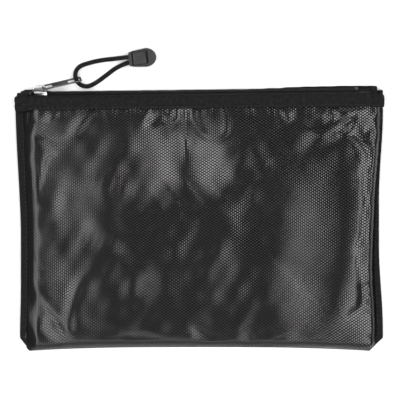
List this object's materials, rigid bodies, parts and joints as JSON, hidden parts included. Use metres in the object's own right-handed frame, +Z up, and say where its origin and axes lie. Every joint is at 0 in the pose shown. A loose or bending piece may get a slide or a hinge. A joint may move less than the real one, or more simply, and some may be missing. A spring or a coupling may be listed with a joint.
{
  "type": "zipped fire-resistant pouch",
  "caption": "Flat zipped pouch of coated glass-fibre cloth that holds lithium polymer packs, with a sliding zip, a pull tab and a corded puller with a moulded cord end.",
  "frame": {"origin": "middle of the back panel's outer face, which lies on the surface under the bag", "axes": "+X along the zip, from its closed end to its open end; +Y from the bottom seam to the zip; +Z up, out of the front panel"},
  "size_m": [0.2709, 0.2215, 0.013],
  "materials": {
    "coated_cloth": "silicone-coated plain weave, satin",
    "lining_cloth": "uncoated glass-fibre weave, matt",
    "woven_tape": "close woven polyester tape, matt",
    "nylon_coil": "satin nylon",
    "thread": "twisted thread",
    "plated_metal": "bright nickel plate",
    "stamped_steel": "satin grey",
    "braid": "braided sheath",
    "moulded_plastic": "fine moulded texture"
  },
  "bodies": {
    "root": {"back_panel": "coated_cloth", "back_lining": "lining_cloth", "side_strip_left": "woven_tape", "side_strip_right": "woven_tape", "bottom_seam_tape": "woven_tape", "left_seam_stitching": "thread", "right_seam_stitching": "thread", "bottom_seam_stitching": "thread", "back_band_stitching": "thread", "zip_tape_front_left_end": "woven_tape", "zip_tape_front_right_end": "woven_tape", "zip_tape_back": "woven_tape", "zip_coil_front_left_end": "nylon_coil", "zip_coil_front_right_end": "nylon_coil", "zip_coil_back": "nylon_coil", "top_stop_front": "nylon_coil", "top_stop_back": "nylon_coil", "bottom_stop": "nylon_coil", "zip_end_left": "woven_tape", "zip_end_right": "woven_tape"},
    "front": {"front_panel": "coated_cloth", "front_lining": "lining_cloth", "front_band_stitching": "thread", "zip_tape_front": "woven_tape", "zip_coil_front": "nylon_coil"},
    "slider": {"slider_body": "plated_metal", "slider_bridge": "plated_metal", "lock_spring": "stamped_steel"},
    "tab": {"pull_tab": "stamped_steel"},
    "cord": {"puller_cord": "braid", "cord_knot": "braid", "cord_end_housing": "moulded_plastic"},
    "flap": {"cord_end_flap": "moulded_plastic"}
  },
  "joints": [
    {"name": "slider_travel", "type": "slide", "parent": "root", "child": "slider", "axis": [0.9999, 0.0119, 0], "range_m": [0, 0.225]},
    {"name": "mouth_open", "type": "hinge", "parent": "root", "child": "front", "pos_m": [0, -0.0941, 0.0038], "axis": [1, 0, 0], "range_deg": [0, 8]},
    {"name": "tab_swing", "type": "hinge", "parent": "slider", "child": "tab", "pos_m": [-0.11494, 0.09628, 0.00747], "axis": [0.2073, -0.3005, 0.931], "range_deg": [-2, 120]},
    {"name": "cord_swing", "type": "hinge", "parent": "tab", "child": "cord", "pos_m": [-0.08741, 0.10292, 0.00349], "axis": [0.2367, -0.4715, 0.8495], "range_deg": [0, 18]},
    {"name": "flap_open", "type": "hinge", "parent": "cord", "child": "flap", "pos_m": [-0.04843, 0.11764, 0.0074], "axis": [0.1219, -0.9925, 0], "range_deg": [0, 100]}
  ]
}
